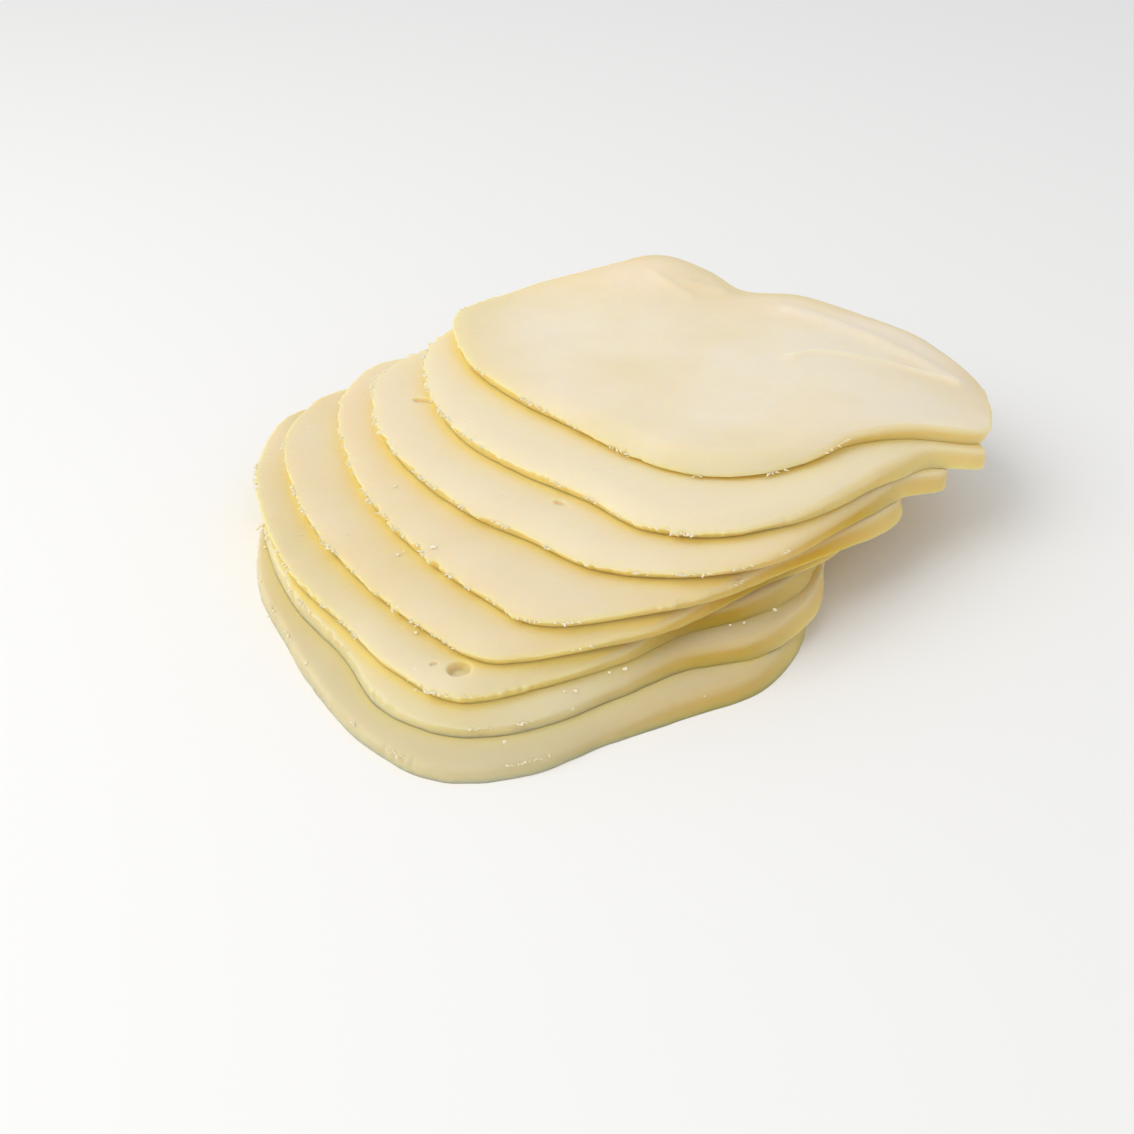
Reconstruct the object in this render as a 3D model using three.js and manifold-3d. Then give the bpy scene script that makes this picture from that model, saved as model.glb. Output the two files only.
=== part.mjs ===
// A fanned stack of eight slices of pale yellow cheese, as it lies, in millimetres with Z up.
// The near side faces -Y. Each slice lies a little further back and to the right than the one below.
import * as THREE from "three";
import Module from "manifold-3d";
import { mergeVertices } from "three/addons/utils/BufferGeometryUtils.js";

// Driving dimensions
const sliceThickness = 4.25;
const sliceGap = 0.35;
const edgeRound = 0.4;
const edgeInset = 0.8;
const raggedDepth = 0.35;
const samplesPerSpan = 3;
const ringShares = [0.34, 0.62, 0.84];

// The overhanging right ends of the upper slices sink, and their back corner stands up in a hump.
const sinkStart = 58;
const sinkLength = 47;
const sinkDepth = 7;
const hump = { x: 24, y: 60, leftWidth: 30, rightWidth: 22, depth: 22, height: 6 };

// The near border of each slice bends down, by these depths at these bearings, and so does the back border
// of the top slice.
const bendWidth = 7.5;
const bendInsets = [7.5, 3.5];
const bendStops = [0, 165, 200, 225, 250, 288, 306, 325, 345, 360];
const bendDepths = [0, 0.1, 0.8, 1.6, 2.2, 2.1, 1.1, 0.5, 0.3, 0];
const backBend = 0.9;

// Each outline is a closed curve through points at these bearings round the slice's middle, in degrees.
const bearings = [118, 138, 156, 176, 198, 220, 240, 256, 272, 290, 308, 325, 338, 347, 354, 363, 380, 397, 415,
  433, 445, 458];

// Distances of the back points, which the slices above hide in all but the top slice.
const backHidden = [62.5, 53.2, 46.2, 44.4, 46.4, 52];
const backShown = [64.6, 54, 49.9, 44.2, 52, 57.9];

// From the bottom slice to the top one: the middle, the distances of the points from 118 to 363 degrees,
// how far the foot of the rim stands out past its top at the left, the near corner, the near right side
// and the right end, the share of the hump the slice takes, and the share of the bend of its border.
const slices = [
  {
    middle: [-7.5, -48],
    reach: [64.5, 81.1, 72.5, 63.8, 57, 57.9, 63.4, 67.9, 63.9, 56.5, 56.1, 62.6, 64.5, 65.8, 67, 69.2],
    rim: [0.5, 1, 3, 2.5],
    humpShare: 0,
    bendShare: 0.75,
  },
  {
    middle: [-5, -42],
    reach: [64, 84, 75.6, 63.9, 56.9, 54.8, 62.9, 65.4, 61, 53.5, 51, 60.4, 65, 67.6, 69.1, 70.1],
    rim: [0.3, 0, 2.5, 2.5],
    humpShare: 0,
    bendShare: 1,
  },
  {
    middle: [-4, -36],
    reach: [63, 88, 79.1, 67.4, 60.6, 57.7, 63, 67.5, 60.1, 54, 49.9, 56.8, 62.9, 65.4, 69.1, 69.4],
    rim: [-2, -1, 2.2, 2.5],
    humpShare: 0.1,
    bendShare: 1,
  },
  {
    middle: [2, -29],
    reach: [61.9, 81.6, 77.8, 66.7, 59.5, 58.1, 61.7, 67.3, 62, 58.4, 55, 56.7, 63.8, 68.3, 69.7, 68.7],
    rim: [-2.3, -2, 1.5, 2.5],
    humpShare: 0.2,
    bendShare: 1,
  },
  {
    middle: [13, -20],
    reach: [61.2, 80.1, 75.5, 65.3, 59.7, 59, 63, 69.4, 65.1, 62, 59, 62.6, 68.8, 71.9, 68.8, 68.2],
    rim: [-2.3, -2.5, 1, 2.3],
    humpShare: 0.35,
    bendShare: 1,
  },
  {
    middle: [23, -13],
    reach: [60.8, 71.1, 75.1, 68, 60.3, 56.6, 56.4, 61.4, 64.1, 63.7, 60.4, 60.5, 63.9, 73.8, 72.4, 68.3],
    rim: [-2.3, -3, 0.2, 2.3],
    humpShare: 0.5,
    bendShare: 1,
  },
  {
    middle: [33, -6],
    reach: [58, 70.6, 72.4, 64.5, 58, 52.5, 52.3, 59.2, 62.1, 59.7, 56.8, 57, 61.2, 74.7, 69.5, 69.1],
    rim: [-2.3, -3, 0, 2.2],
    humpShare: 0.75,
    bendShare: 1,
  },
  {
    middle: [40, 6],
    reach: [56, 63.8, 72, 63.2, 52.5, 47.4, 49.2, 53.1, 54.6, 53.1, 50.2, 56.5, 71.3, 72, 71.9, 71.5],
    rim: [-2.5, -3.5, -1.2, -0.3],
    humpShare: 1,
    bendShare: 1.4,
  },
];

// Holes the cheese's own gas left, open on the top face: slice number, place, half sizes and turn.
const eyes = [
  { slice: 3, at: [-20, -94], half: [2.7, 2.5, 1.8], turn: 0.3 },
  { slice: 3, at: [-25.4, -92.2], half: [1, 0.9, 0.7], turn: 0 },
  { slice: 6, at: [-33, 1.3], half: [3.2, 1.4, 1.4], turn: -0.3 },
  { slice: 6, at: [1.6, -50], half: [1.8, 1.1, 0.9], turn: -0.8 },
];

const cheese = { color: 0xf0dfae, roughness: 0.5, metalness: 0 };

const wasm = await Module();
wasm.setup();

// Height of the underside of a slice above the board, at a place on the plan.
function undersideAt(index, x, y) {
  const past = index === 0 ? 0 : Math.max(0, x - sinkStart) / sinkLength;
  const humpWidth = x > hump.x ? hump.rightWidth : hump.leftWidth;
  const off = ((x - hump.x) / humpWidth) ** 2 + ((y - hump.y) / hump.depth) ** 2;
  const lift = slices[index].humpShare * hump.height * Math.exp(-off);
  return index * (sliceThickness + sliceGap) - sinkDepth * past * past + lift;
}

// How far the foot of the rim stands out past its top, eased between a few bearings.
function rimRun(slice, bearing) {
  const [left, corner, near, end] = slice.rim;
  const stops = [-50, -22, 3, 60, 130, 170, 250, 275, 310, 338];
  const runs = [near, end, -0.3, 2, 0.8, left, left, corner, near, end];
  const turn = ((bearing % 360) + 360) % 360;
  for (let i = 0; i < stops.length - 1; i += 1) {
    if (turn >= stops[i] && turn <= stops[i + 1]) {
      const share = (turn - stops[i]) / (stops[i + 1] - stops[i]);
      return THREE.MathUtils.lerp(runs[i], runs[i + 1], (1 - Math.cos(Math.PI * share)) / 2);
    }
  }
  return end + ((turn - 338) / 25) * (-0.3 - end);
}

// How far the top edge is bent down at a bearing.
function bendDepth(index, bearing) {
  const turn = ((bearing % 360) + 360) % 360;
  const back = index === slices.length - 1 && (turn < 120 || turn > 352) ? backBend : 0;
  const i = Math.max(1, bendStops.findIndex((stop) => stop >= turn));
  const share = (turn - bendStops[i - 1]) / (bendStops[i] - bendStops[i - 1]);
  return Math.max(back, slices[index].bendShare * THREE.MathUtils.lerp(bendDepths[i - 1], bendDepths[i], share));
}

// Top edge of a slice on the plan, and for each of its points the foot of the rim below it.
function outlineOf(index) {
  const slice = slices[index];
  const back = index === slices.length - 1 ? backShown : backHidden;
  const distances = [...slice.reach, ...back];
  const knots = bearings.map((bearing, i) => {
    const angle = THREE.MathUtils.degToRad(bearing);
    const x = slice.middle[0] + distances[i] * Math.cos(angle);
    const y = slice.middle[1] + distances[i] * Math.sin(angle);
    return new THREE.Vector3(x, y, 0);
  });
  const curve = new THREE.CatmullRomCurve3(knots, true, "centripetal");
  const count = bearings.length * samplesPerSpan;
  const edge = curve.getPoints(count).slice(0, count);
  return edge.map((point, i) => {
    const before = edge[(i + count - 1) % count];
    const after = edge[(i + 1) % count];
    const normal = new THREE.Vector2(after.y - before.y, before.x - after.x).normalize();
    const bearing = THREE.MathUtils.radToDeg(Math.atan2(point.y - slice.middle[1], point.x - slice.middle[0]));
    const run = rimRun(slice, bearing);
    const step = 0.5;
    const slopeX = undersideAt(index, point.x + step, point.y) - undersideAt(index, point.x - step, point.y);
    const slopeY = undersideAt(index, point.x, point.y + step) - undersideAt(index, point.x, point.y - step);
    const ragged = bearing > -60 && bearing < 110 ? 0 : raggedDepth * Math.sin(i * 2.4 + index * 1.7);
    return {
      top: [point.x + normal.x * ragged, point.y + normal.y * ragged],
      foot: [
        point.x + normal.x * run + sliceThickness * slopeX,
        point.y + normal.y * run + sliceThickness * slopeY,
      ],
      under: undersideAt(index, point.x, point.y),
      bend: bendDepth(index, bearing),
    };
  });
}

// One slice as rings of points: the top face out to its rounded edge, the rim, and the underside.
function sliceSolid(index) {
  const [middleX, middleY] = slices[index].middle;
  const outline = outlineOf(index);
  const positions = [];
  const faces = [];
  const addPoint = (x, y, z) => {
    positions.push(x, y, z);
    return positions.length / 3 - 1;
  };
  const addRing = (which, place, heightOf) =>
    outline.map((spot) => {
      const [edgeX, edgeY] = spot[which];
      const reach = Math.hypot(edgeX - middleX, edgeY - middleY);
      const share = place.share ?? 1 - place.inset / reach;
      const x = middleX + (edgeX - middleX) * share;
      const y = middleY + (edgeY - middleY) * share;
      return addPoint(x, y, heightOf(x, y, spot, reach * (1 - share)));
    });
  const topAt = (x, y) => undersideAt(index, x, y) + sliceThickness;
  const bentTopAt = (x, y, spot, inset) => topAt(x, y) - spot.bend * Math.max(0, 1 - inset / bendWidth) ** 2;
  const underAt = (x, y) => undersideAt(index, x, y);
  const rings = [
    ...ringShares.slice(0, 2).map((share) => addRing("top", { share }, topAt)),
    ...[...bendInsets, edgeInset].map((inset) => addRing("top", { inset }, bentTopAt)),
    addRing("top", { inset: 0 }, (x, y, spot) => spot.under + sliceThickness - spot.bend - edgeRound),
    addRing("foot", { inset: 0 }, (x, y, spot) => spot.under + edgeRound),
    addRing("foot", { inset: edgeInset }, underAt),
    ...ringShares.toReversed().map((share) => addRing("foot", { share }, underAt)),
  ];
  const topMiddle = addPoint(middleX, middleY, topAt(middleX, middleY));
  const underMiddle = addPoint(middleX, middleY, underAt(middleX, middleY));
  const count = outline.length;
  for (let i = 0; i < count; i += 1) {
    const next = (i + 1) % count;
    faces.push(topMiddle, rings[0][i], rings[0][next]);
    for (let r = 0; r < rings.length - 1; r += 1) {
      faces.push(rings[r][i], rings[r + 1][i], rings[r + 1][next]);
      faces.push(rings[r][i], rings[r + 1][next], rings[r][next]);
    }
    const last = rings[rings.length - 1];
    faces.push(underMiddle, last[next], last[i]);
  }
  const shape = new wasm.Mesh({
    numProp: 3,
    vertProperties: new Float32Array(positions),
    triVerts: new Uint32Array(faces),
  });
  return new wasm.Manifold(shape);
}

// The slice with its eyes cut out of the top face.
function cutEyes(index, solid) {
  let cut = solid;
  for (const eye of eyes.filter((one) => one.slice === index + 1)) {
    const top = undersideAt(index, eye.at[0], eye.at[1]) + sliceThickness;
    const hole = wasm.Manifold.sphere(1, 12)
      .scale(eye.half)
      .rotate([0, 0, THREE.MathUtils.radToDeg(eye.turn)])
      .translate([eye.at[0], eye.at[1], top]);
    cut = cut.subtract(hole);
  }
  return cut;
}

function geometryOf(solid) {
  const shape = solid.getMesh();
  const geometry = new THREE.BufferGeometry();
  geometry.setAttribute("position", new THREE.BufferAttribute(new Float32Array(shape.vertProperties), 3));
  geometry.setIndex(new THREE.BufferAttribute(new Uint32Array(shape.triVerts), 1));
  const merged = mergeVertices(geometry, 1e-3);
  merged.computeVertexNormals();
  return merged;
}

const stack = new THREE.Group();
stack.name = "cheese_stack";
slices.forEach((slice, index) => {
  const material = new THREE.MeshStandardMaterial(cheese);
  const mesh = new THREE.Mesh(geometryOf(cutEyes(index, sliceSolid(index))), material);
  mesh.name = `slice_${index + 1}`;
  stack.add(mesh);
});

// The origin sits under the middle of the whole stack's box, on the face it rests on.
const bounds = new THREE.Box3().setFromObject(stack, true);
const centre = bounds.getCenter(new THREE.Vector3());
for (const mesh of stack.children) {
  mesh.geometry.translate(-centre.x, -centre.y, -bounds.min.z);
}

export default stack;
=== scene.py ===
import math

import bmesh
import bpy
import numpy as np
from mathutils import Matrix, Vector


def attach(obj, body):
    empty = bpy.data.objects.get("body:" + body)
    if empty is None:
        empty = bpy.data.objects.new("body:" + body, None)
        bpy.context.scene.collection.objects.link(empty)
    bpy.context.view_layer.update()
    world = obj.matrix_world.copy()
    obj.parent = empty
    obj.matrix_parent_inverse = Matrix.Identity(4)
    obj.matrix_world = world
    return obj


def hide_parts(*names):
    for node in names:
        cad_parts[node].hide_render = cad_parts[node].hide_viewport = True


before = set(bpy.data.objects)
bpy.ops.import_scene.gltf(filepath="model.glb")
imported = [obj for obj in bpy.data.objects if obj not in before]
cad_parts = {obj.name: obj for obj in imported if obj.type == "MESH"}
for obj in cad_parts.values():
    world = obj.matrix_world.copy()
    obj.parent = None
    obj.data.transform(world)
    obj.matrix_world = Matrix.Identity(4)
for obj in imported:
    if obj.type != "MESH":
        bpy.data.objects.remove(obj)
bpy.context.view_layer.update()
print("frame loaded")

# Slices are shaped in millimetres on the stack's own plan, X right, Y away, and then moved to the frame.
stack = {
    "centre": (17.9886, -25.4146),  # the frame's origin on that plan
    "pitch": 4.6,
    "thickness": 4.56,
    "segments": 720,                # points round each slice
    "knotSteps": 48,                # fine points between two bearings
    "sag": {"start": 58, "length": 47, "depth": 7},
    "hump": {"x": 24, "y": 60, "widths": (30, 22), "depth": 22, "height": 6},
    "waves": [(34, 0.22, 11), (13, 0.07, 12)],  # cell size, height and seed of the gentle swell
    "bearings": [118, 138, 156, 176, 198, 220, 240, 256, 272, 290, 308, 325, 338, 347, 354, 363, 380, 397,
                 415, 433, 445, 458],
    "backHidden": [62.5, 53.2, 46.2, 44.4, 46.4, 52],  # reach at the last six bearings, under others
    "backShown": [64.6, 54, 49.9, 44.2, 52, 57.9],     # and on the top slice
    "nothingAbove": 60,             # distance that stands for no slice above, mm
    "hiddenFrom": 20,               # the covered back needs fewer points
    "hiddenTo": 105,
    "hiddenShare": 0.35,
}

# From the bottom slice to the top one: the middle, how far the edge reaches at each bearing, how far the
# rim's foot stands out past its top (left, near corner, near right, right end), the share of the hump, and
# how torn the near left edge is.
slices = [
    {"middle": (-7.5, -48), "rim": (0.5, 1, 3, 2.5), "hump": 0, "torn": 0.3,
     "reach": [64.5, 81.1, 72.5, 63.8, 57, 57.9, 63.4, 67.9, 63.9, 56.5, 56.1, 62.6, 64.5, 65.8, 67, 69.2]},
    {"middle": (-5, -42), "rim": (0.3, 0, 2.5, 2.5), "hump": 0, "torn": 0.5,
     "reach": [64, 84, 75.6, 63.9, 56.9, 54.8, 62.9, 65.4, 61, 53.5, 51, 60.4, 65, 67.6, 69.1, 70.1]},
    {"middle": (-4, -36), "rim": (-2, -1, 2.2, 2.5), "hump": 0.1, "torn": 0.45,
     "reach": [63, 88, 79.1, 67.4, 60.6, 57.7, 63, 67.5, 60.1, 54, 49.9, 56.8, 62.9, 65.4, 69.1, 69.4]},
    {"middle": (2, -29), "rim": (-2.3, -2, 1.5, 2.5), "hump": 0.2, "torn": 0.6,
     "reach": [61.9, 81.6, 77.8, 66.7, 59.5, 58.1, 61.7, 67.3, 62, 58.4, 55, 56.7, 63.8, 68.3, 69.7, 68.7]},
    {"middle": (13, -20), "rim": (-2.3, -2.5, 1, 2.3), "hump": 0.35, "torn": 0.7,
     "reach": [61.2, 80.1, 75.5, 65.3, 59.7, 59, 63, 69.4, 65.1, 62, 59, 62.6, 68.8, 71.9, 68.8, 68.2]},
    {"middle": (23, -13), "rim": (-2.3, -3, 0.2, 2.3), "hump": 0.5, "torn": 1.0,
     "reach": [60.8, 71.1, 75.1, 68, 60.3, 56.6, 56.4, 61.4, 64.1, 63.7, 60.4, 60.5, 63.9, 73.8, 72.4, 68.3]},
    {"middle": (33, -6), "rim": (-2.3, -3, 0, 2.2), "hump": 0.75, "torn": 0.8,
     "reach": [58, 70.6, 72.4, 64.5, 58, 52.5, 52.3, 59.2, 62.1, 59.7, 56.8, 57, 61.2, 74.7, 69.5, 69.1]},
    {"middle": (40, 6), "rim": (-2.5, -3.5, -1.2, -0.3), "hump": 1, "torn": 0.6,
     "reach": [56, 63.8, 72, 63.2, 52.5, 47.4, 49.2, 53.1, 54.6, 53.1, 50.2, 56.5, 71.3, 72, 71.9, 71.5]},
]
topSlice = len(slices) - 1
noiseCells = 97


def softNoise(x, y, cell, seed):
    table = np.random.default_rng(seed).random((noiseCells, noiseCells)) * 2 - 1
    u, v = np.asarray(x) / cell, np.asarray(y) / cell
    i, j = np.floor(u).astype(int), np.floor(v).astype(int)
    a, b = u - i, v - j
    a, b = a * a * (3 - 2 * a), b * b * (3 - 2 * b)
    i, j, i1, j1 = i % noiseCells, j % noiseCells, (i + 1) % noiseCells, (j + 1) % noiseCells
    low = table[i, j] * (1 - a) + table[i1, j] * a
    high = table[i, j1] * (1 - a) + table[i1, j1] * a
    return low * (1 - b) + high * b


# The same noise along a line; each lane of it differs.
def lineNoise(along, cell, seed, lane=0):
    return softNoise(along, along * 0 + lane, cell, seed)


def swell(x, y):
    return sum(height * softNoise(x, y, cell, seed) for cell, height, seed in stack["waves"])


# Height of a slice's bed, which its underside lies on, before the gentle swell.
def bedAt(index, x, y):
    sag, hump = stack["sag"], stack["hump"]
    past = np.maximum(0, x - sag["start"]) / sag["length"] * (1 if index else 0)
    width = np.where(x > hump["x"], hump["widths"][1], hump["widths"][0])
    off = ((x - hump["x"]) / width) ** 2 + ((y - hump["y"]) / hump["depth"]) ** 2
    lift = slices[index]["hump"] * hump["height"] * np.exp(-off)
    return index * stack["pitch"] - sag["depth"] * past ** 2 + lift


def undersideAt(index, x, y):
    return bedAt(index, x, y) + (swell(x, y) if index else 0)


def topAt(index, x, y):
    return bedAt(index, x, y) + stack["thickness"] + swell(x, y)


# A closed centripetal curve through the knots, sampled evenly along its weighted length.
def closedCurve(knots, count, weightAt):
    total = len(knots)
    s = np.linspace(0, 1, stack["knotSteps"], endpoint=False)[:, None]
    parts = []
    for i in range(total):
        p0, p1, p2, p3 = (knots[(i + k) % total] for k in (-1, 0, 1, 2))
        d0, d1, d2 = (max(np.linalg.norm(b - a), 1e-6) ** 0.5 for a, b in ((p0, p1), (p1, p2), (p2, p3)))
        t1 = ((p1 - p0) / d0 - (p2 - p0) / (d0 + d1) + (p2 - p1) / d1) * d1
        t2 = ((p2 - p1) / d1 - (p3 - p1) / (d1 + d2) + (p3 - p2) / d2) * d1
        square, cube = 3 * (p2 - p1) - 2 * t1 - t2, 2 * (p1 - p2) + t1 + t2
        parts.append(p1 + t1 * s + square * s ** 2 + cube * s ** 3)
    fine = np.concatenate(parts)
    closed = np.vstack([fine, fine[:1]])
    steps = np.linalg.norm(np.diff(closed, axis=0), axis=1) * weightAt(fine)
    along = np.concatenate([[0], np.cumsum(steps)])
    wanted = np.linspace(0, along[-1], count, endpoint=False)
    return np.stack([np.interp(wanted, along, closed[:, k]) for k in (0, 1)], axis=1)


def bearingOf(points, middle):
    return np.degrees(np.arctan2(points[:, 1] - middle[1], points[:, 0] - middle[0])) % 360


rims = {
    "stops": [-22, 3, 60, 130, 170, 250, 275, 310, 338, 363],  # bearings between which the run is eased
    "back": (-0.3, 2, 0.8),    # how far the foot stands out from the right end round the back
    "undercut": 0.88,          # share of an inward run that is kept
    "wobble": (0.12, 3, 40),   # height, cell and seed of the run's slight unevenness
    "torn": ([0, 115, 150, 262, 292, 320, 360], [0.05, 0.2, 1, 1, 0.45, 0.12, 0.05]),
    "nearGain": 1.2,           # the near left rim reaches its full glow this much sooner
    "turned": ([322, 338, 360], [0, 1, 1]),  # where the rim has turned to the right end
    "lit": ([278, 294, 350, 360], [0, 1, 1, 0.6]),  # where the right rim is painted with golden glow on the two top slices
    "nearGlow": [0.25, 0.45, 1, 1, 1, 1, 1, 1],  # how strong the painted golden glow of the near left rim is, bottom slice to top
    "rightGlow": [0.55, 0.55, 0.55, 0.55, 0.55, 0.55, 0.75, 0.9],
    "paintedRimShade": [0.75, 0.9, 1, 1, 1, 1, 0.5, 0.35],  # how deep the painted shade of the other rims is
    "paintedRimShadeLost": (0.3, 0.95, 0.45),  # where the painted rim shade starts to be lost, and its share lost at the near left and at the right end
}


# How far the foot of the rim stands out past its top.
def rimRun(index, bearing):
    left, corner, near, end = slices[index]["rim"]
    first, second, third = rims["back"]
    runs = np.array([end, first, second, third, left, left, corner, near, end, first])
    place = np.interp(bearing, rims["stops"], range(len(runs)))
    low = np.floor(place).astype(int).clip(0, len(runs) - 2)
    ease = (1 - np.cos(np.pi * (place - low))) / 2
    run = runs[low] * (1 - ease) + runs[low + 1] * ease
    return np.where(run < 0, run * rims["undercut"], run)


# How much a bearing belongs to the near left edge, where the knife dragged and tore the cheese.
def tornShare(bearing):
    return np.interp(bearing, *rims["torn"])


def outlineOf(index):
    part = slices[index]
    middle = np.array(part["middle"], float)
    back = stack["backShown"] if index == topSlice else stack["backHidden"]
    angles = np.radians(stack["bearings"])
    reach = np.array(part["reach"] + back)
    knots = middle + reach[:, None] * np.stack([np.cos(angles), np.sin(angles)], axis=1)

    def weightAt(points):
        bearing = bearingOf(points, middle)
        hidden = (bearing > stack["hiddenFrom"]) & (bearing < stack["hiddenTo"]) & (index < topSlice)
        return np.where(hidden, stack["hiddenShare"], 1.0)

    edge = closedCurve(knots, stack["segments"], weightAt)
    ahead, behind = np.roll(edge, -1, axis=0), np.roll(edge, 1, axis=0)
    normal = np.stack([ahead[:, 1] - behind[:, 1], behind[:, 0] - ahead[:, 0]], axis=1)
    normal /= np.linalg.norm(normal, axis=1, keepdims=True)
    bearing = bearingOf(edge, middle)
    x, y = edge.T
    slope = np.stack([bedAt(index, x + 0.5, y) - bedAt(index, x - 0.5, y),
                      bedAt(index, x, y + 0.5) - bedAt(index, x, y - 0.5)], axis=1)
    height, cell, seed = rims["wobble"]
    run = rimRun(index, bearing) + height * lineNoise(bearing, cell, seed + index)
    near = np.clip(tornShare(bearing) * rims["nearGain"], 0, 1)
    turned = np.interp(bearing, *rims["turned"])
    lit = np.interp(bearing, *rims["lit"]) if index >= topSlice - 1 else turned
    level, nearLoss, endLoss = rims["paintedRimShadeLost"]
    paled = np.clip(near * (1 + level) - level, 0, 1)
    return {
        "middle": middle, "edge": edge, "normal": normal, "bearing": bearing, "near": near, "turned": turned,
        "foot": edge + normal * run[:, None] + stack["thickness"] * slope,
        "glow": np.maximum(near * rims["nearGlow"][index], lit * rims["rightGlow"][index]),
        "paintedRimShade": (1 - nearLoss * paled) * (1 - endLoss * turned) * rims["paintedRimShade"][index],
    }


outlines = [outlineOf(index) for index in range(len(slices))]
print("outlines drawn")

profile = {
    "pointStep": 0.57,     # from one point of an edge to the next, mm
    "edgeStep": 0.6,       # from one ring to the next near the edge
    "edgeWidth": 31,       # width of the finely ringed border
    "innerRings": 12,
    "innerRingsTop": 30,   # the top slice shows all of its face
    "roundRings": 6,
    "rimRings": 9,
    "footRings": 4,
    "underRings": 8,
    "topRound": (0.35, 1.5),   # rounding of the top edge at the torn and at the clean side
    "cleanGain": 1.4,          # the torn side reaches its sharpness this much sooner
    "lowestClean": 0.55,       # the lowest slice counts as at least this clean
    "endSharper": 0.5,         # share of the rounding lost at the right end
    "kinds": (0.28, 0.34, 1.4),   # where the rim's painted shade and glow start, and their gain over the round and down the rim
    "footRound": 0.15,
    "footPress": 0.28,         # how far the near foot is pressed into the slice below
    "lip": (0.1, 2.2, 110),    # height, cell and seed of the torn edge's standing lip
    "bulge": (0.22, 6, 120, 3),     # height, cell, seed and change down the rim of its broad unevenness
    "fine": (0.05, 1.3, 130, 9),    # and of the fine one
    "droop": ([0, 165, 200, 225, 250, 288, 306, 325, 345, 360],  # bearings
              [0, 0.1, 0.8, 1.6, 2.2, 2.1, 1.1, 0.5, 0.3, 0]),   # how far the border bends down there, mm
    "droopWidth": 7.5,
    "droopShare": [0.75, 1, 1, 1, 1, 1, 1, 1.4],   # bottom slice to top
    "flush": (0.65, 262, 24),  # the top slice's near edge lies almost flush: depth, bearing, half width
}

tearing = {
    "depth": 0.8,
    "ragged": [(1, 1.5, 80), (0.7, 0.75, 90)],  # strength, cell and seed
    "outward": 1.4,     # flaps reach further than what is torn in
    "inward": 0.7,
    "bites": (1.6, 0.35, 2.6, 95),   # strength, level from which they start, cell and seed
    "patches": (0.3, 1.1, 11, 97),   # base, strength, cell and seed of where the edge is torn at all
    "patchPower": 1.3,
    "everywhere": 0.05,
    "drift": (0.35, 9, 100, 0.4),    # strength, cell and seed of the edge's slow waver, and its least share
    "reach": 8,         # how far in from the edge all this is felt, mm
    "fade": 0.9,
    "places": [  # where the edge hangs out as a flap or is torn in: slice, place, depth, half width
        (5, (-19.0, -53.5), 2.2, 2.6),
        (5, (-22.5, -52.0), 1.2, 1.5),
        (5, (-44.5, -18.5), -1.6, 1.3),
        (5, (-43.6, -21.5), 0.9, 0.8),
        (4, (-28.0, -62.0), 0.9, 1.4),
        (4, (-7.5, -72.0), 0.6, 1.6),
        (3, (-57.8, -10.2), 0.7, 1.2),
        (1, (-48.0, -80.0), 0.8, 1.6),
    ],
}

topSpots = {
    "backDrop": 0.9,      # how far the back border of the top slice rounds down, mm
    "backWidth": 5.5,
    "backSide": ([0, 5, 110, 128, 345, 358, 360], [1, 1, 1, 0.25, 0.0, 0.9, 1]),  # bearings it holds for
    "ridges": [  # raised streaks on the top slice: path, height, half width
        ([(60.6, 5.4), (66, 8.5), (72, 8.3), (84, 6.2), (96, 3.0), (103, 1.0)], 1.0, 1.3),
        ([(64, 33), (74, 27), (84, 20), (95, 10.5), (103, 2.5)], 1.15, 3.5),
        ([(28.2, 48.7), (37.4, 39.5)], 0.6, 2.1),
        ([(38, 46), (46, 44)], 0.6, 2.2),
    ],
    "uneven": (0.03, 4.5, 60, 400),  # height, cell, seed and shift per slice of the faces' unevenness
}


# Distance in from the edge of a slice, from its middle's point of view.
def insetOf(index, x, y, which="edge"):
    middle, edge = outlines[index]["middle"], outlines[index][which]
    bearings = bearingOf(edge, middle)
    order = np.argsort(bearings)
    angle = np.degrees(np.arctan2(y - middle[1], x - middle[0])) % 360
    reach = np.interp(angle, bearings[order], np.linalg.norm(edge - middle, axis=1)[order], period=360)
    return reach - np.hypot(x - middle[0], y - middle[1]), angle


def backBorder(x, y):
    inset, angle = insetOf(topSlice, x, y)
    side = np.interp(angle, *topSpots["backSide"])
    return side * np.exp(-(np.maximum(inset, 0) / topSpots["backWidth"]) ** 2)


def distanceToPath(x, y, path):
    best = np.full(np.shape(x), 1e9)
    for (ax, ay), (bx, by) in zip(path, path[1:]):
        share = ((x - ax) * (bx - ax) + (y - ay) * (by - ay)) / ((bx - ax) ** 2 + (by - ay) ** 2)
        share = np.clip(share, 0, 1)
        best = np.minimum(best, np.hypot(x - ax - share * (bx - ax), y - ay - share * (by - ay)))
    return best


# The near border of a slice bends down, so its rim is thinner there.
def droopOf(index, x, y):
    inset, angle = insetOf(index, x, y)
    depth = profile["droopShare"][index] * np.interp(angle, *profile["droop"])
    if index == topSlice:
        extra, bearing, half = profile["flush"]
        depth = depth + extra * np.exp(-((angle - bearing) / half) ** 2)
    return depth * np.clip(1 - inset / profile["droopWidth"], 0, 1) ** 2


def topDetail(index, x, y):
    lift = -droopOf(index, x, y)
    if index == topSlice:
        lift = lift - topSpots["backDrop"] * backBorder(x, y)
        for path, height, width in topSpots["ridges"]:
            lift = lift + height * np.exp(-(distanceToPath(x, y, path) / width) ** 2)
    height, cell, seed, shift = topSpots["uneven"]
    return lift + height * softNoise(x + shift * index, y, cell, seed + index)


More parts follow.
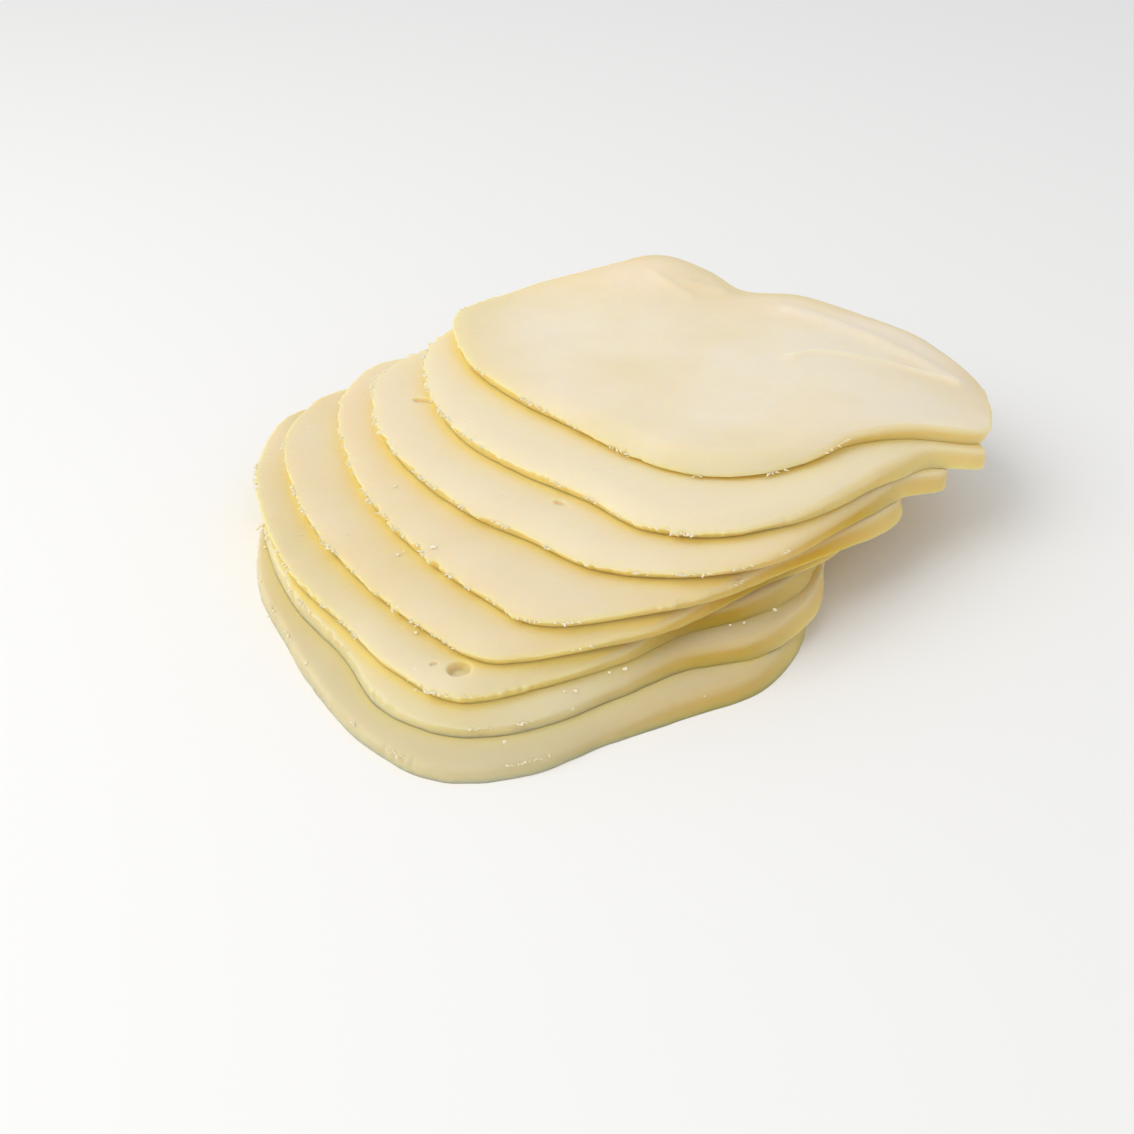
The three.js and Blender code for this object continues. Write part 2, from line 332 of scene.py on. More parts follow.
# How far the edge is dragged out, or bitten in where negative, at each of its points.
def tearOf(index, along, torn):
    tear = sum(strength * lineNoise(along, cell, seed + index) for strength, cell, seed in tearing["ragged"])
    strength, level, cell, seed = tearing["bites"]
    bites = np.maximum(0, lineNoise(along, cell, seed + index) - level) * strength
    base, strength, cell, seed = tearing["patches"]
    patchy = np.clip(base + strength * lineNoise(along, cell, seed + index), 0, 1) ** tearing["patchPower"]
    tear = np.where(tear > 0, tear * tearing["outward"], tear * tearing["inward"]) - bites
    tear = tear * tearing["depth"] * (torn * patchy + tearing["everywhere"])
    for place, depth, half in (one[1:] for one in tearing["places"] if one[0] == index):
        tear = tear + depth * np.exp(-(np.hypot(*(outlines[index]["edge"] - place).T) / half) ** 2)
    strength, cell, seed, least = tearing["drift"]
    return tear + strength * lineNoise(along, cell, seed + index) * (least + torn)


def topRoundAt(index, line):
    sharp, soft = profile["topRound"]
    clean = 1 - np.clip(tornShare(line["bearing"]) * profile["cleanGain"], 0, 1)
    clean = np.maximum(clean, 0 if index else profile["lowestClean"])
    return ((sharp + (soft - sharp) * clean) * (1 - profile["endSharper"] * line["turned"]))[:, None]


# A point on the curve that rounds a corner.
def rounded(start, corner, end, s):
    return (1 - s) ** 2 * start + 2 * s * (1 - s) * corner + s ** 2 * end


# Rows of points from the middle of the top face over the rim to the middle of the underside. A row's kind
# is -1 on the top face, rises to 1 down the rim, and is 2 underneath.
def rowsOf(index):
    line = outlines[index]
    middle, edge, foot = line["middle"], line["edge"], line["foot"]
    torn = tornShare(line["bearing"]) * slices[index]["torn"]
    along = np.arange(len(edge)) * profile["pointStep"]
    tear = tearOf(index, along, torn)
    inward = middle - edge
    inward = inward / np.linalg.norm(inward, axis=1, keepdims=True)
    radius = topRoundAt(index, line)
    rows, kinds = [], []
    atRound, roundGain, rimGain = profile["kinds"]

    def add(points, kind):
        rows.append(points)
        kinds.append(np.full(len(points), float(kind)))

    def addTop(points):
        x, y = points.T
        add(np.column_stack([points, topAt(index, x, y) + topDetail(index, x, y)]), -1)

    border = profile["edgeWidth"]
    inner = profile["innerRingsTop"] if index == topSlice else profile["innerRings"]
    for share in np.linspace(0, 1, inner, endpoint=False):
        addTop(middle + (edge + inward * border - middle) * share)
    for step in np.linspace(border, 0, int(border / profile["edgeStep"]), endpoint=False):
        shift = tear * np.exp(-step / tearing["fade"]) * (step < tearing["reach"])
        reachIn = step * np.ones((len(edge), 1)) + radius * (1 - step / border)
        addTop(edge + inward * reachIn - inward * shift[:, None])
    x, y = edge.T
    high, cell, seed = profile["lip"]
    lip = high * torn * (1 + lineNoise(along, cell, seed + index))
    cornerTop = np.column_stack([edge - inward * tear[:, None],
                                 topAt(index, x, y) + topDetail(index, x, y) + lip])
    line["lip"] = cornerTop   # the shreds hang from here
    press = profile["footPress"] * line["near"] if index else 0
    cornerFoot = np.column_stack([foot, undersideAt(index, *foot.T) - press])
    down = cornerFoot - cornerTop
    down = down / np.linalg.norm(down, axis=1, keepdims=True)
    below, above = cornerTop + down * radius, cornerFoot - down * profile["footRound"]
    start = rows[-1]
    for s in np.arange(1, profile["roundRings"] + 1) / profile["roundRings"]:
        add(rounded(start, cornerTop, below, s), atRound + roundGain * s)
    for s in np.arange(1, profile["rimRings"]) / profile["rimRings"]:
        high, cell, seed, change = profile["bulge"]
        out = high * math.sin(math.pi * s) * lineNoise(along, cell, seed + index, change * s)
        high, cell, seed, change = profile["fine"]
        out = out + high * lineNoise(along, cell, seed + index, change * s)
        swollen = np.column_stack([-inward * out[:, None], np.zeros(len(edge))])
        add(below + (above - below) * s + swollen, min(1, atRound + roundGain + rimGain * s))
    inset = foot + inward * profile["footRound"]
    innerFoot = np.column_stack([inset, undersideAt(index, *inset.T)])
    for s in np.arange(profile["footRings"] + 1) / profile["footRings"]:
        add(rounded(above, cornerFoot, innerFoot, s), 1)
    for share in np.linspace(0, 1, profile["underRings"] + 1)[1:]:
        points = inset + (middle - inset) * share
        add(np.column_stack([points, undersideAt(index, *points.T)]), 2)
    return np.array(rows), np.array(kinds)


tonesAndShades = {  # 0 for the pale middle of a face, 1 for its warmer parts; random tone mixed with painted shade and painted highlights
    "base": 0.38,
    "clouds": [(0.3, 21, 170), (0.16, 9, 180)],  # strength, cell and seed
    "leftSide": ([95, 145, 240, 300], [0, 1, 1, 0]),  # bearings
    "left": (0.32, 16),         # painted shade: strength and fading length of the warmer, darker tint along the left
    "crownHighlight": (0.2, 11, 6),      # painted highlight, a pale band on the crown beside the slice above: strength, distance, half width
    "topBase": -0.25,           # from here on, what the top slice adds
    # painted shade along the rounded back border of the top slice
    "topBackShade": 0.9,
    "topLeftShade": (0.4, 24),
    # painted shade on the far flank of the hump's fold
    "topFoldShade": (0.8, (44, 44), 12),
    "ridgeHighlights": (0.6, 0.7, 2),  # painted highlight on a crest: its paleness, its share of the ridge's width, and how many have it
}
paintedShadeBands = [(0.62, 1.2), (0.38, 4.6)]  # share and fading length of the painted golden shade beside a slice, mm
seams = {
    "under": 0.5,   # the line of contact is at most this far inside the edge above, mm
    "at": -0.5,     # where light is passed on, a little further in
    "half": 0.9,
}
borderShade = {"share": 0.28, "start": 1, "fade": 1.6}  # the rim's painted shade carried on to the face


# How far a place lies outside the slice that rests on this one; inside it the distance is negative.
def awayOf(index, x, y):
    if index == topSlice:
        return 0 * x + stack["nothingAbove"]
    foot = insetOf(index + 1, x, y, "foot")[0]
    edge = insetOf(index + 1, x, y)[0]
    return -np.maximum(foot, edge - seams["under"])


# Mask of the painted golden shade: 1 where the next slice up rests, fading with the distance outside it.
def paintedShadeOf(index, x, y):
    away = np.maximum(awayOf(index, x, y), 0)
    return sum(share * np.exp(-away / length) for share, length in paintedShadeBands)


def toneAndShadeOf(index, x, y):
    inset, angle = insetOf(index, x, y)
    inset = np.maximum(inset, 0)
    left = np.interp(angle, *tonesAndShades["leftSide"])
    toneAndShade = tonesAndShades["base"]
    for strength, cell, seed in tonesAndShades["clouds"]:
        toneAndShade = toneAndShade + strength * softNoise(x, y, cell, seed + index)
    # painted shade, warmer and darker along the left side
    strength, length = tonesAndShades["left"]
    toneAndShade = toneAndShade + strength * left * np.exp(-inset / length)
    # painted highlight along the crown beside the slice above
    strength, distance, half = tonesAndShades["crownHighlight"]
    toneAndShade = toneAndShade - strength * np.exp(-((awayOf(index, x, y) - distance) / half) ** 2)
    if index == topSlice:
        strength, length = tonesAndShades["topLeftShade"]
        # painted shade on the top slice's back border
        toneAndShade = toneAndShade + tonesAndShades["topBase"] + tonesAndShades["topBackShade"] * backBorder(x, y)
        # more painted shade along the top slice's left
        toneAndShade = toneAndShade + strength * left * np.exp(-inset / length)
        # painted shade on the far flank of the hump's fold
        strength, (foldX, foldY), half = tonesAndShades["topFoldShade"]
        toneAndShade = toneAndShade + strength * np.exp(-(np.hypot(x - foldX, y - foldY) / half) ** 2)
        # painted highlights on the ridge crests
        strength, share, count = tonesAndShades["ridgeHighlights"]
        for path, _, width in topSpots["ridges"][:count]:
            toneAndShade = toneAndShade - strength * np.exp(-(distanceToPath(x, y, path) / (share * width)) ** 2)
    return np.clip(toneAndShade, 0, 1)


def toFrame(points):
    moved = np.array(points, float)
    moved[:, :2] -= stack["centre"]
    return moved / 1000


def finishPiece(bm, name, material, replaced=None):
    mesh = bpy.data.meshes.new(name)
    bm.to_mesh(mesh)
    bm.free()
    mesh.shade_smooth()
    mesh.materials.append(material)
    piece = bpy.data.objects.new(name, mesh)
    bpy.context.scene.collection.objects.link(piece)
    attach(piece, "root")
    if replaced:
        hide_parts(replaced)
    return piece


eyes = {
    "cuts": 3,          # how finely the face is split round an eye
    "margin": 1.2,      # and how far past it, mm
    "brim": 0.9,        # where the wall of an eye stands, as a share of its half size
    "reach": 1.35,      # and where it ends
    "steepness": 20,
    "upward": 0.5,      # only what faces up is pressed in
    "span": 5,          # no eye reaches further, mm
    "holes": [  # left by gas: slice, place, half sizes, turn
        {"slice": 2, "at": (-20, -94), "half": (2.7, 2.5, 2.0), "turn": 0.3},
        {"slice": 2, "at": (-25.4, -92.2), "half": (1.0, 0.9, 0.6), "turn": 0},
        {"slice": 5, "at": (-33, 1.3), "half": (3.2, 1.6, 1.2), "turn": -0.3},
        {"slice": 5, "at": (1.6, -50), "half": (1.8, 1.1, 0.8), "turn": -0.8},
    ],
}


def pressEyes(index, bm):
    for eye in (one for one in eyes["holes"] if one["slice"] == index):
        centre = toFrame([(*eye["at"], 0)])[0]
        wide = (max(eye["half"]) + eyes["margin"]) / 1000
        near = [e for e in bm.edges if all(
            v.normal.z > eyes["upward"]
            and math.hypot(v.co.x - centre[0], v.co.y - centre[1]) < wide for v in e.verts)]
        bmesh.ops.subdivide_edges(bm, edges=near, cuts=eyes["cuts"], use_grid_fill=True)
        bm.normal_update()
        cos, sin = math.cos(eye["turn"]), math.sin(eye["turn"])
        for v in bm.verts:
            dx, dy = (v.co.x - centre[0]) * 1000, (v.co.y - centre[1]) * 1000
            if v.normal.z < eyes["upward"] or max(abs(dx), abs(dy)) > eyes["span"]:
                continue
            p, q = (dx * cos + dy * sin) / eye["half"][0], (dy * cos - dx * sin) / eye["half"][1]
            off = math.sqrt(p * p + q * q)
            if off < eyes["reach"]:
                v.co.z -= eye["half"][2] / 1000 / (1 + math.exp((off - eyes["brim"]) * eyes["steepness"]))


# A grid is wrapped round into the rows of the slice, and its seam and middles are welded shut.
def buildSlice(index, material):
    rows, kinds = rowsOf(index)
    rings, segments = len(rows) - 1, stack["segments"]
    x, y = rows[..., 0], rows[..., 1]
    glow, paintedRimShade = outlines[index]["glow"], outlines[index]["paintedRimShade"]
    top, rimShare = kinds < 0, np.clip(kinds, 0, 1)
    seam = np.exp(-((awayOf(index, x, y) - seams["at"]) / seams["half"]) ** 2)
    past = np.maximum(insetOf(index, x, y)[0] - borderShade["start"], 0)
    marks = {
        # painted golden shade beside the slice above, and painted golden glow down the rims
        "paintedShadeGlow": np.where(top, paintedShadeOf(index, x, y), glow * rimShare),
        # painted shade down the rim, carried a little onto the face beside it
        "depth": paintedRimShade * np.where(top, borderShade["share"] * np.exp(-past / borderShade["fade"]), rimShare),
        "seam": np.where(top, seam, np.where(kinds <= 1, glow * rimShare ** 2, 0)),
        "toneAndShade": toneAndShadeOf(index, x, y),
    }
    spots = toFrame(rows.reshape(-1, 3)).reshape(rows.shape)
    bm = bmesh.new()
    bmesh.ops.create_grid(bm, x_segments=segments, y_segments=rings, size=1)
    layers = [(bm.verts.layers.float.new(name), values) for name, values in marks.items()]
    for vert in bm.verts:
        turn = round((vert.co.x + 1) / 2 * segments) % segments
        ring = rings - round((vert.co.y + 1) / 2 * rings)
        vert.co = spots[ring, turn]
        for layer, values in layers:
            vert[layer] = values[ring, turn]
    bmesh.ops.remove_doubles(bm, verts=bm.verts, dist=1e-7)
    bm.normal_update()
    pressEyes(index, bm)
    name = f"slice_{index + 1}"
    return finishPiece(bm, f"cheese_{name}", material, name)


# Shader groups shared by all the cheese.
def newGroup(name, inputs, outputs):
    group = bpy.data.node_groups.new(name, "ShaderNodeTree")
    for label, kind, value in inputs:
        socket = group.interface.new_socket(label, in_out="INPUT", socket_type=kind)
        socket.default_value = value
    for label, kind in outputs:
        group.interface.new_socket(label, in_out="OUTPUT", socket_type=kind)
    return group, group.nodes.new("NodeGroupInput"), group.nodes.new("NodeGroupOutput")


def newNode(nodes, kind, values=None, operation=None):
    node = nodes.new(kind)
    if operation:
        node.operation = operation
    for socket, value in (values or {}).items():
        node.inputs[socket].default_value = value
    return node


def newMix(nodes):
    mix = nodes.new("ShaderNodeMix")
    mix.data_type = "RGBA"
    return mix


def mottleGroup():
    group, given, made = newGroup("cheeseMottle", [
        ("Pale", "NodeSocketColor", (0.9, 0.8, 0.6, 1)),
        ("Warm", "NodeSocketColor", (0.9, 0.75, 0.5, 1)),
        ("Seed", "NodeSocketFloat", 0.0),
        ("Tone", "NodeSocketFloat", 0.4),
    ], [("Color", "NodeSocketColor"), ("Cloud", "NodeSocketFloat")])
    nodes, links = group.nodes, group.links
    place = nodes.new("ShaderNodeTexCoord")
    shift = newNode(nodes, "ShaderNodeVectorMath", operation="ADD")
    links.new(place.outputs["Object"], shift.inputs[0])
    links.new(given.outputs["Seed"], shift.inputs[1])
    cloud = newNode(nodes, "ShaderNodeTexNoise", {"Scale": 26, "Detail": 3, "Roughness": 0.5})
    links.new(shift.outputs[0], cloud.inputs["Vector"])
    smear = newNode(nodes, "ShaderNodeMapping", {"Rotation": (0, 0, 0.5), "Scale": (0.35, 1.4, 1)})
    links.new(shift.outputs[0], smear.inputs["Vector"])
    streak = newNode(nodes, "ShaderNodeTexNoise", {"Scale": 120, "Detail": 4})
    links.new(smear.outputs[0], streak.inputs["Vector"])
    blend = newNode(nodes, "ShaderNodeMath", {1: 0.28}, "MULTIPLY_ADD")   # how much the streaks add
    links.new(streak.outputs["Fac"], blend.inputs[0])
    links.new(cloud.outputs["Fac"], blend.inputs[2])
    spread = newNode(nodes, "ShaderNodeMapRange", {
        "From Min": 0.42, "From Max": 0.88, "To Min": -0.2, "To Max": 0.2})
    links.new(blend.outputs[0], spread.inputs["Value"])
    toned = newNode(nodes, "ShaderNodeMath", operation="ADD")
    toned.use_clamp = True
    links.new(spread.outputs["Result"], toned.inputs[0])
    links.new(given.outputs["Tone"], toned.inputs[1])
    mix = newMix(nodes)
    links.new(toned.outputs[0], mix.inputs["Factor"])
    links.new(given.outputs["Pale"], mix.inputs["A"])
    links.new(given.outputs["Warm"], mix.inputs["B"])
    links.new(mix.outputs["Result"], made.inputs["Color"])
    links.new(toned.outputs[0], made.inputs["Cloud"])
    return group


def grainGroup():
    group, given, made = newGroup("cheeseGrain", [("Fine", "NodeSocketFloat", 1.0)],
                                  [("Height", "NodeSocketFloat")])
    nodes, links = group.nodes, group.links
    place = nodes.new("ShaderNodeTexCoord")
    fine = newNode(nodes, "ShaderNodeTexNoise", {"Scale": 1900, "Detail": 3})
    links.new(place.outputs["Object"], fine.inputs["Vector"])
    broad = newNode(nodes, "ShaderNodeTexNoise", {"Scale": 320, "Detail": 2})
    links.new(place.outputs["Object"], broad.inputs["Vector"])
    scaled = newNode(nodes, "ShaderNodeMath", operation="MULTIPLY")
    links.new(fine.outputs["Fac"], scaled.inputs[0])
    links.new(given.outputs["Fine"], scaled.inputs[1])
    total = newNode(nodes, "ShaderNodeMath", {1: 1.6}, "MULTIPLY_ADD")   # how much the broad unevenness adds
    links.new(broad.outputs["Fac"], total.inputs[0])
    links.new(scaled.outputs[0], total.inputs[2])
    links.new(total.outputs[0], made.inputs["Height"])
    return group


# Scattered dots: rare brown specks and small pale flecks.
def dotsGroup():
    group, given, made = newGroup("cheeseDots", [
        ("Spacing", "NodeSocketFloat", 300.0),
        ("Size", "NodeSocketFloat", 0.1),
        ("Share", "NodeSocketFloat", 0.1),
    ], [("Mask", "NodeSocketFloat")])
    nodes, links = group.nodes, group.links
    place = nodes.new("ShaderNodeTexCoord")
    cells = nodes.new("ShaderNodeTexVoronoi")
    links.new(place.outputs["Object"], cells.inputs["Vector"])
    links.new(given.outputs["Spacing"], cells.inputs["Scale"])
    near = newNode(nodes, "ShaderNodeMath", operation="LESS_THAN")
    links.new(cells.outputs["Distance"], near.inputs[0])
    links.new(given.outputs["Size"], near.inputs[1])
    apart = nodes.new("ShaderNodeSeparateColor")
    links.new(cells.outputs["Color"], apart.inputs[0])
    chosen = newNode(nodes, "ShaderNodeMath", operation="LESS_THAN")
    links.new(apart.outputs[0], chosen.inputs[0])
    links.new(given.outputs["Share"], chosen.inputs[1])
    both = newNode(nodes, "ShaderNodeMath", operation="MULTIPLY")
    links.new(near.outputs[0], both.inputs[0])
    links.new(chosen.outputs[0], both.inputs[1])
    links.new(both.outputs[0], made.inputs["Mask"])
    return group


groups = {"mottle": mottleGroup(), "grain": grainGroup(), "dots": dotsGroup()}


def placeGroup(nodes, name, values):
    node = nodes.new("ShaderNodeGroup")
    node.node_tree = groups[name]
    for label, value in values.items():
        node.inputs[label].default_value = value
    return node


finish = {
    "paintedGolden": (0.83, 0.655, 0.19, 1),     # painted golden shade where two slices meet, and painted golden glow down the rims
    "rim": (0.65, 0.405, 0.028, 1),       # painted shade on the cut rim, a little deeper than the faces and deepest at its foot
    "carried": (0.066, 0.047, 0.009, 1),  # light the thin edges pass on into the seams
    "speck": (0.28, 0.13, 0.05, 1),
    "fleck": (0.92, 0.88, 0.76, 1),
    "strengths": {"paintedGolden": 0.78, "rim": 0.95, "fleck": 0.5, "speck": 0.75},
    "specks": {"Spacing": 62, "Size": 0.022, "Share": 0.16},
    "flecks": {"Spacing": 210, "Size": 0.1, "Share": 0.05},
    "grain": {"Fine": 1.0},
    "bump": {"Strength": 0.35, "Distance": 0.00022},
    "roughness": (0.47, 0.63),            # at the pale and at the warm parts
    "shader": {
        "Subsurface Weight": 1.0,
        "Subsurface Scale": 0.0042,
        "Subsurface Radius": (1.0, 0.76, 0.42),
        "IOR": 1.42,
        "Specular IOR Level": 0.35,
        "Emission Strength": 1,
    },
    "seedStep": 0.37,
    "faces": [  # pale and warm tint of each slice, bottom to top; the lower slices are darker, partly their own colour and partly painted shade
        ((0.70, 0.62, 0.43, 1), (0.64, 0.55, 0.35, 1)),
        ((0.80, 0.72, 0.54, 1), (0.73, 0.64, 0.41, 1)),
        ((0.82, 0.715, 0.51, 1), (0.71, 0.61, 0.36, 1)),
        ((0.83, 0.71, 0.50, 1), (0.79, 0.65, 0.39, 1)),
        ((0.865, 0.735, 0.52, 1), (0.80, 0.665, 0.43, 1)),
        ((0.88, 0.755, 0.55, 1), (0.85, 0.72, 0.49, 1)),
        ((0.90, 0.775, 0.57, 1), (0.885, 0.75, 0.51, 1)),
        ((0.945, 0.80, 0.62, 1), (0.83, 0.70, 0.42, 1)),
    ],
}


def cheeseMaterial(name, pale, warm, seed):
    material = bpy.data.materials.new(name)
    material.use_nodes = True
    nodes, links = material.node_tree.nodes, material.node_tree.links
    shader = nodes["Principled BSDF"]
    for socket, value in finish["shader"].items():
        shader.inputs[socket].default_value = value

    def markOf(name):
        node = nodes.new("ShaderNodeAttribute")
        node.attribute_name = name
        return node.outputs["Fac"]

    mottle = placeGroup(nodes, "mottle", {"Pale": pale, "Warm": warm, "Seed": seed})
    links.new(markOf("toneAndShade"), mottle.inputs["Tone"])
    masks = {
        # painted golden shade by the slice above, and painted golden glow down the rims
        "paintedGolden": markOf("paintedShadeGlow"),
        # painted shade down the rims
        "rim": markOf("depth"),
        "fleck": placeGroup(nodes, "dots", finish["flecks"]).outputs["Mask"],
        "speck": placeGroup(nodes, "dots", finish["specks"]).outputs["Mask"],
    }
    colour = mottle.outputs["Color"]
    for tint, mask in masks.items():
        scaled = newNode(nodes, "ShaderNodeMath", {1: finish["strengths"][tint]}, "MULTIPLY")
        links.new(mask, scaled.inputs[0])
        mix = newMix(nodes)
        links.new(scaled.outputs[0], mix.inputs["Factor"])
        links.new(colour, mix.inputs["A"])
        mix.inputs["B"].default_value = finish[tint]
        colour = mix.outputs["Result"]
    links.new(colour, shader.inputs["Base Color"])
    carried = newMix(nodes)
    links.new(markOf("seam"), carried.inputs["Factor"])
    carried.inputs["A"].default_value = (0, 0, 0, 1)
    carried.inputs["B"].default_value = finish["carried"]
    links.new(carried.outputs["Result"], shader.inputs["Emission Color"])
    material.cycles.emission_sampling = "NONE"   # too faint to be worth treating as a lamp
    low, high = finish["roughness"]
    rough = newNode(nodes, "ShaderNodeMapRange", {"To Min": low, "To Max": high})
    links.new(mottle.outputs["Cloud"], rough.inputs["Value"])
    links.new(rough.outputs["Result"], shader.inputs["Roughness"])
    bump = newNode(nodes, "ShaderNodeBump", finish["bump"])
    links.new(placeGroup(nodes, "grain", finish["grain"]).outputs["Height"], bump.inputs["Height"])
    links.new(bump.outputs["Normal"], shader.inputs["Normal"])
    return material


for index, (pale, warm) in enumerate(finish["faces"]):
    buildSlice(index, cheeseMaterial(f"cheese_{index + 1}", pale, warm, index * finish["seedStep"]))
    print(f"slice {index + 1} of {len(slices)} shaped")

# Shreds hang in clusters along the torn edges.
shreds = {
    "clusters": [7, 14, 14, 20, 20, 26, 22, 16],   # per slice, bottom to top
    "between": (152, 305),       # bearings
    "each": (3, 9),              # shreds in a cluster
    "spread": 1.5,
    "patches": (0.9, 7, 150),    # strength, cell and seed of how they gather
    "least": 0.05,
    "big": (0.5, 1.1),
    "thick": (0.6, 0.6),         # their width's base, and its gain with the size of the cluster
    "rise": (-0.5, 0.5),         # how far they point up or down
    "swing": (-1.3, 1.3),        # and along the edge
    "taper": (0.2, 0.7),         # width of the tip, as a share
    "flat": (1.5, 0.7),          # across and through
    "length": (0.3, 1.0),
    "width": (0.1, 0.24),
    "root": 0.25,                # how deep a shred is rooted in the edge
    "below": (0.05, 0.35),       # how far under the edge it starts
    "bend": (-0.4, 0.7),
    "seed": 7,
}

# Crumbs lie on the top faces of the slices.
crumbs = {
    "seed": 9,
    "lumps": 3,                  # in each crumb
    "size": 0.36,
    "stretch": (0.5, 1.2),
    "scatter": 0.3,
    "lumpy": 0.25,
    "flat": 0.6,
    "raised": 0.1,               # how high the middle stands, as a share of the size
    "placed": [  # slice it lies on, place, size
        (1, (-72.6, -28.6), 1.5), (1, (-73.2, -30.2), 0.9), (0, (-71.5, -31.5), 1.0),
        (0, (-70.6, -45.8), 0.8), (0, (-66.4, -60.9), 0.7), (2, (-29.8, -81.3), 1.2),
        (4, (-37.9, -34.5), 0.9), (4, (-27.0, -60.2), 1.3), (3, (-35.6, -57.1), 1.1),
        (3, (-34.4, -56.0), 0.8), (1, (-10.0, -110.6), 1.0), (2, (49.2, -73.2), 1.0),
        (2, (38.9, -78.4), 0.8), (2, (41.8, -77.7), 0.7), (2, (15.1, -92.1), 1.0),
        (2, (11.9, -93.4), 0.8), (1, (4.5, -95.4), 0.9), (1, (2.4, -96.0), 0.7),
        (5, (-12.0, -46.5), 0.6), (6, (9.5, -43.0), 0.5), (3, (-48.0, -48.0), 0.6),
        (2, (-60.5, -40.5), 0.6), (0, (-55.5, -78.2), 0.8), (1, (-61.4, -56.5), 0.9),
    ],
    "tints": {"Pale": (0.97, 0.91, 0.72, 1), "Warm": (0.94, 0.85, 0.62, 1)},
    "roughness": 0.6,
}


def crumbMaterial():
    material = bpy.data.materials.new("cheese_crumb")
    material.use_nodes = True
    nodes = material.node_tree.nodes
    shader = nodes["Principled BSDF"]
    mottle = placeGroup(nodes, "mottle", crumbs["tints"])
    material.node_tree.links.new(mottle.outputs["Color"], shader.inputs["Base Color"])
    shader.inputs["Roughness"].default_value = crumbs["roughness"]
    return material


crumbLook = crumbMaterial()


def buildShreds():
    rng = np.random.default_rng(shreds["seed"])
    first, last = shreds["between"]
    (broad, thin), (slim, gain) = shreds["flat"], shreds["thick"]
    bm = bmesh.new()
    for index, amount in enumerate(shreds["clusters"]):
        line = outlines[index]
        bearing, lip, total = line["bearing"], line["lip"], len(line["bearing"])
        step = np.linalg.norm(line["edge"][1] - line["edge"][0])
        strength, cell, seed = shreds["patches"]
        gathered = (1 + strength * lineNoise(bearing, cell, seed + index)).clip(shreds["least"])
        wanted = tornShare(bearing) ** 2 * gathered
        wanted = wanted * ((bearing > first) & (bearing < last))
        for cluster in rng.choice(total, amount, p=wanted / wanted.sum()):
            big = rng.uniform(*shreds["big"])
            for _ in range(rng.integers(*shreds["each"])):
                spot = int(cluster + rng.normal() * shreds["spread"] / step) % total
                size = rng.uniform(*shreds["length"]) * big
                normal = line["normal"][spot]
                side = Vector((*normal, rng.uniform(*shreds["rise"]))).normalized()
                level = Vector((-normal[1], normal[0], 0))
                side = (side + level * rng.uniform(*shreds["swing"])).normalized()
                start = Vector(lip[spot]) - side * shreds["root"]
                start = start - Vector((0, 0, rng.uniform(*shreds["below"])))
                wide = rng.uniform(*shreds["width"]) * (slim + gain * big)
                made = bmesh.ops.create_cone(bm, cap_ends=True, cap_tris=True, segments=6, radius1=wide,
                                             radius2=wide * rng.uniform(*shreds["taper"]), depth=1)["verts"]
                bent = rng.uniform(*shreds["bend"])
                turn = side.to_track_quat("Z", "Y").to_matrix()
                for v in made:
                    along = v.co.z + 0.5
                    local = Vector((v.co.x * broad, v.co.y * thin + bent * along * along / 2,
                                    along * (size + shreds["root"])))
                    v.co = toFrame([(start + turn @ local)[:]])[0]
    bmesh.ops.recalc_face_normals(bm, faces=bm.faces)
    return finishPiece(bm, "edge_shreds", crumbLook)


def buildCrumbs():
    rng = np.random.default_rng(crumbs["seed"])
    scatter, lumpy = crumbs["scatter"], crumbs["lumpy"]
    bm = bmesh.new()
    for index, at, size in crumbs["placed"]:
        base = float(topAt(index, *at) - droopOf(index, *at))
        centre = Vector((*at, base + size * crumbs["raised"]))
        for _ in range(crumbs["lumps"]):
            made = bmesh.ops.create_icosphere(bm, subdivisions=2, radius=1)["verts"]
            stretch = rng.uniform(*crumbs["stretch"], 3)
            off = Vector((*rng.uniform(-scatter, scatter, 2), 0)) * size
            for v in made:
                scale = size * crumbs["size"] * (1 + rng.uniform(-lumpy, lumpy))
                local = Vector((v.co.x * stretch[0], v.co.y * stretch[1], v.co.z * crumbs["flat"])) * scale
                v.co = toFrame([(centre + off + local)[:]])[0]
    bmesh.ops.recalc_face_normals(bm, faces=bm.faces)
    return finishPiece(bm, "loose_crumbs", crumbLook)


buildShreds()
buildCrumbs()
print("shreds and crumbs laid")

# The camera stands where the photograph was taken from.
view = {
    "lens": 50.79,
    "sensor": 36,
    "clip": 0.01,
    "elevation": 33.52,
    "roll": -0.63,
    "offset": (-3.2625, 19.2875, 424.0875),  # the plan's zero as the camera sees it: right, up, ahead, mm
}


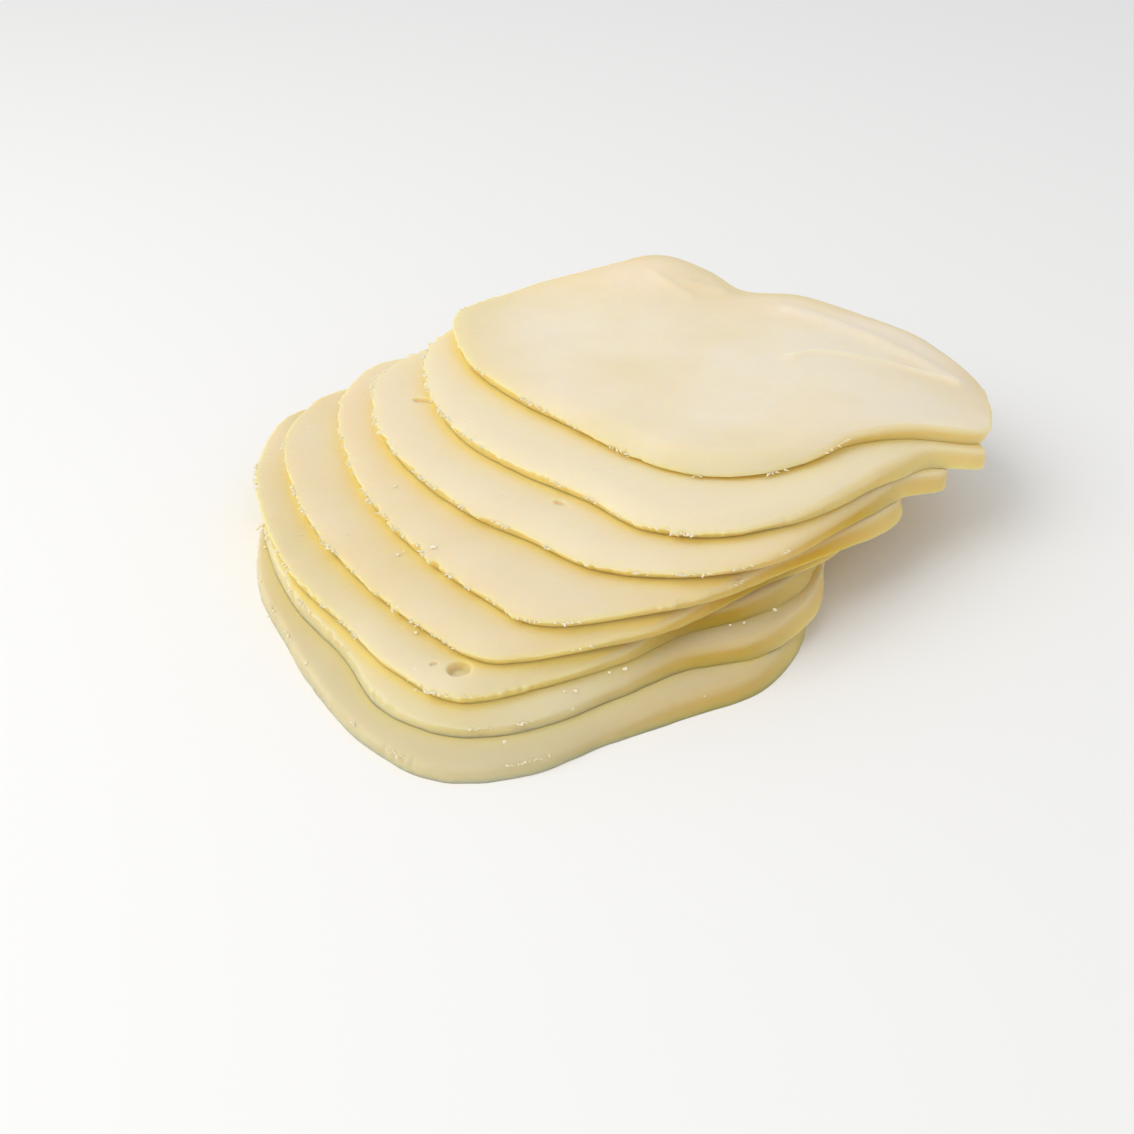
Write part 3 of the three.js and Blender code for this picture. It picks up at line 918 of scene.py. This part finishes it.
def placeCamera():
    rise, roll = math.radians(view["elevation"]), math.radians(view["roll"])
    ahead = Vector((0, math.cos(rise), -math.sin(rise)))
    level, over = Vector((1, 0, 0)), Vector((0, math.sin(rise), math.cos(rise)))
    right = level * math.cos(roll) + over * math.sin(roll)
    up = over * math.cos(roll) - level * math.sin(roll)
    x, y, z = view["offset"]
    spot = -(right * x + up * y + ahead * z)
    place = (spot - Vector((*stack["centre"], 0))) / 1000
    data = bpy.data.cameras.new("camera")
    data.lens = view["lens"]
    data.sensor_width = view["sensor"]
    data.clip_start = view["clip"]
    camera = bpy.data.objects.new("camera", data)
    camera.matrix_world = Matrix.Translation(place) @ Matrix((right, up, -ahead)).transposed().to_4x4()
    bpy.context.scene.collection.objects.link(camera)
    bpy.context.scene.camera = camera


room = {
    "keyAt": (-0.6, -0.22, 0.8),
    "keyAim": (0, 0, 0.02),
    "keySize": 0.9,
    "keyPower": 5.2,
    "keyTint": (1, 0.98, 0.95),
    "airTint": (0.96, 0.98, 1, 1),
    "airStrength": 0.68,
    "floorHalf": 3,
    "floorTint": (0.95, 0.94, 0.925, 1),
    "floorRoughness": 0.8,
}


def placeLights():
    data = bpy.data.lights.new("key", "AREA")
    data.energy = room["keyPower"]
    data.size = room["keySize"]
    data.color = room["keyTint"]
    key = bpy.data.objects.new("key", data)
    aim = Vector(room["keyAim"]) - Vector(room["keyAt"])
    key.matrix_world = Matrix.Translation(room["keyAt"]) @ aim.to_track_quat("-Z", "Y").to_matrix().to_4x4()
    bpy.context.scene.collection.objects.link(key)
    world = bpy.data.worlds.new("soft_room")
    world.use_nodes = True
    air = world.node_tree.nodes["Background"]
    air.inputs["Color"].default_value = room["airTint"]
    air.inputs["Strength"].default_value = room["airStrength"]
    bpy.context.scene.world = world
    bpy.context.scene.view_settings.view_transform = "Standard"


def layFloor():
    bm = bmesh.new()
    bmesh.ops.create_grid(bm, x_segments=1, y_segments=1, size=room["floorHalf"])
    mesh = bpy.data.meshes.new("floor")
    bm.to_mesh(mesh)
    bm.free()
    material = bpy.data.materials.new("floor")
    material.use_nodes = True
    shader = material.node_tree.nodes["Principled BSDF"]
    shader.inputs["Base Color"].default_value = room["floorTint"]
    shader.inputs["Roughness"].default_value = room["floorRoughness"]
    mesh.materials.append(material)
    floor = bpy.data.objects.new("floor", mesh)
    bpy.context.scene.collection.objects.link(floor)


placeCamera()
placeLights()
layFloor()
print("camera, light and floor placed")
